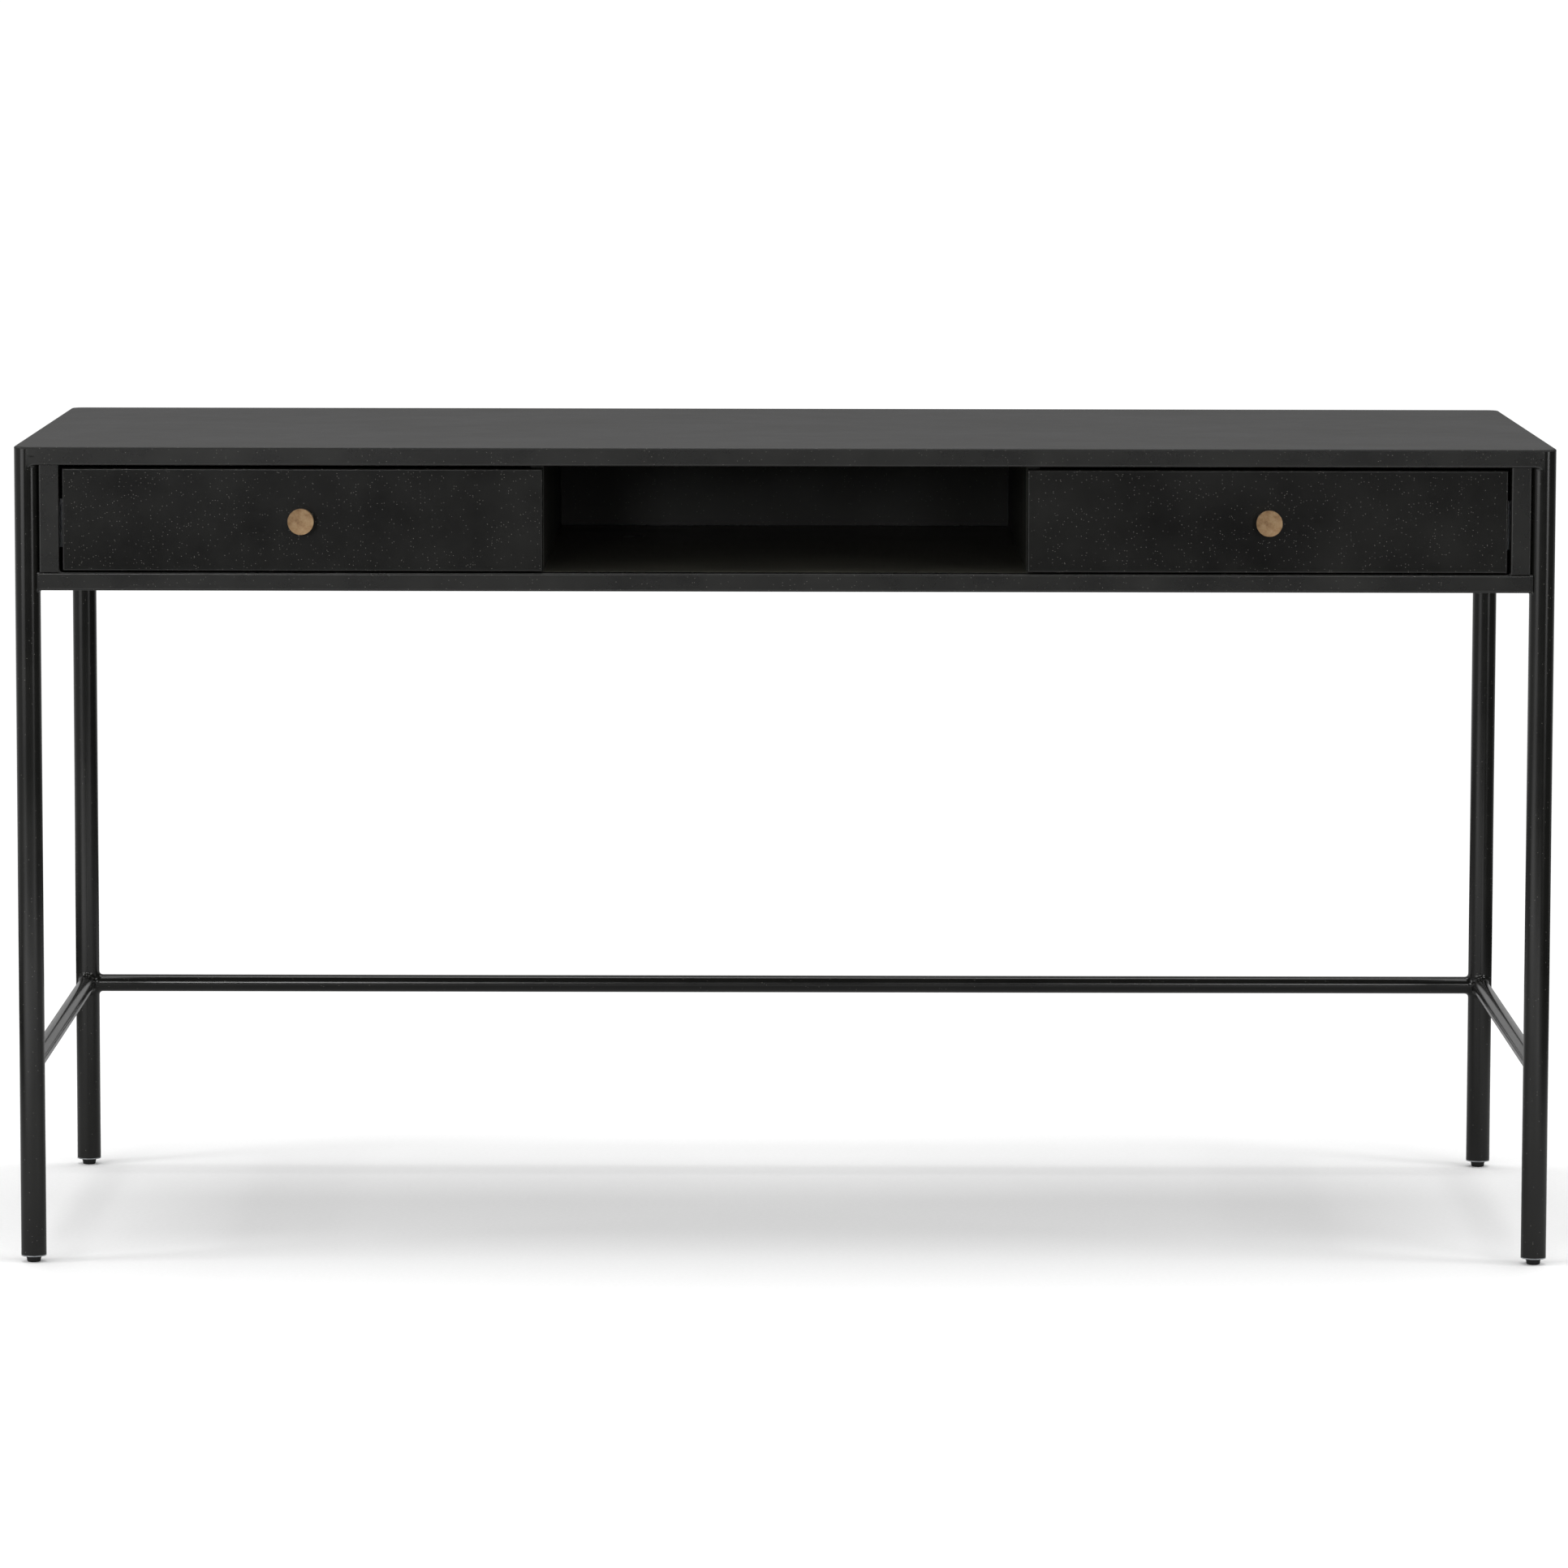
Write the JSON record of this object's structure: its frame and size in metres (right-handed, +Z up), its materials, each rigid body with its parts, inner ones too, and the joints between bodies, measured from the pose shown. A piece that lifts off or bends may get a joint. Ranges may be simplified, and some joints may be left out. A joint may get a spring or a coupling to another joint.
{
  "type": "writing desk",
  "caption": "Black iron writing desk with drawers on ball bearing slides beside an open centre cubby, round tube legs, stretchers at rear and sides, brass disc knobs.",
  "frame": {"origin": "on the floor, below the middle of the overall box with the knobs counted", "axes": "+Z up, +X to the sitter's right, -Y towards the sitter; the drawers open along -Y"},
  "size_m": [1.422, 0.5814, 0.762],
  "materials": {
    "black_steel": "satin black powder coat",
    "zinc_steel": "zinc plated",
    "aged_brass": "aged, waxed",
    "foot_plastic": "moulded nylon",
    "bumper_rubber": "soft rubber"
  },
  "bodies": {
    "desk_frame": {"top_panel": "black_steel", "rail_top_front": "black_steel", "rail_top_rear": "black_steel", "rail_top_left": "black_steel", "rail_top_right": "black_steel", "rail_bottom_front": "black_steel", "rail_bottom_rear": "black_steel", "rail_bottom_left": "black_steel", "rail_bottom_right": "black_steel", "leg_front_left": "black_steel", "leg_front_right": "black_steel", "leg_rear_left": "black_steel", "leg_rear_right": "black_steel", "stretcher_rear": "black_steel", "stretcher_left": "black_steel", "stretcher_right": "black_steel", "stile_left": "black_steel", "stile_right": "black_steel", "side_panel_left": "black_steel", "side_panel_right": "black_steel", "back_panel": "black_steel", "floor_panel": "black_steel", "divider_left": "black_steel", "divider_right": "black_steel", "runner_rail_left": "black_steel", "runner_rail_right": "black_steel", "top_stiffener_left": "black_steel", "top_stiffener_right": "black_steel", "slides_outer_left": "zinc_steel", "slides_outer_right": "zinc_steel", "slide_screws_left": "zinc_steel", "slide_screws_right": "zinc_steel", "foot_inserts": "zinc_steel", "bumpers": "bumper_rubber"},
    "drawer_left": {"drawer_front_left": "black_steel", "drawer_inner_front_left": "black_steel", "drawer_outboard_side_left": "black_steel", "drawer_inboard_side_left": "black_steel", "drawer_back_left": "black_steel", "drawer_bottom_left": "black_steel", "slides_inner_left": "zinc_steel", "drawer_screws_left": "zinc_steel", "knob_left": "aged_brass", "knob_screw_left": "zinc_steel"},
    "slide_middle_left": {"slides_middle_left": "zinc_steel"},
    "drawer_right": {"drawer_front_right": "black_steel", "drawer_inner_front_right": "black_steel", "drawer_outboard_side_right": "black_steel", "drawer_inboard_side_right": "black_steel", "drawer_back_right": "black_steel", "drawer_bottom_right": "black_steel", "slides_inner_right": "zinc_steel", "drawer_screws_right": "zinc_steel", "knob_right": "aged_brass", "knob_screw_right": "zinc_steel"},
    "slide_middle_right": {"slides_middle_right": "zinc_steel"},
    "foot_front_left": {"levelling_foot_front_left": "foot_plastic"},
    "foot_front_right": {"levelling_foot_front_right": "foot_plastic"},
    "foot_rear_left": {"levelling_foot_rear_left": "foot_plastic"},
    "foot_rear_right": {"levelling_foot_rear_right": "foot_plastic"}
  },
  "joints": [
    {"name": "drawer_left_slide", "type": "slide", "parent": "desk_frame", "child": "drawer_left", "axis": [0, -1, 0], "range_m": [0, 0.45]},
    {"name": "middle_member_left_slide", "type": "slide", "parent": "desk_frame", "child": "slide_middle_left", "axis": [0, -1, 0], "range_m": [0, 0.225]},
    {"name": "drawer_right_slide", "type": "slide", "parent": "desk_frame", "child": "drawer_right", "axis": [0, -1, 0], "range_m": [0, 0.45]},
    {"name": "middle_member_right_slide", "type": "slide", "parent": "desk_frame", "child": "slide_middle_right", "axis": [0, -1, 0], "range_m": [0, 0.225]},
    {"name": "foot_front_left_screw", "type": "slide", "parent": "desk_frame", "child": "foot_front_left", "axis": [0, 0, -1], "range_m": [0, 0.008]},
    {"name": "foot_front_right_screw", "type": "slide", "parent": "desk_frame", "child": "foot_front_right", "axis": [0, 0, -1], "range_m": [0, 0.008]},
    {"name": "foot_rear_left_screw", "type": "slide", "parent": "desk_frame", "child": "foot_rear_left", "axis": [0, 0, -1], "range_m": [0, 0.008]},
    {"name": "foot_rear_right_screw", "type": "slide", "parent": "desk_frame", "child": "foot_rear_right", "axis": [0, 0, -1], "range_m": [0, 0.008]}
  ],
  "couplings": [
    {"joint": "middle_member_left_slide", "follows": "drawer_left_slide", "ratio": 0.5},
    {"joint": "middle_member_right_slide", "follows": "drawer_right_slide", "ratio": 0.5}
  ]
}
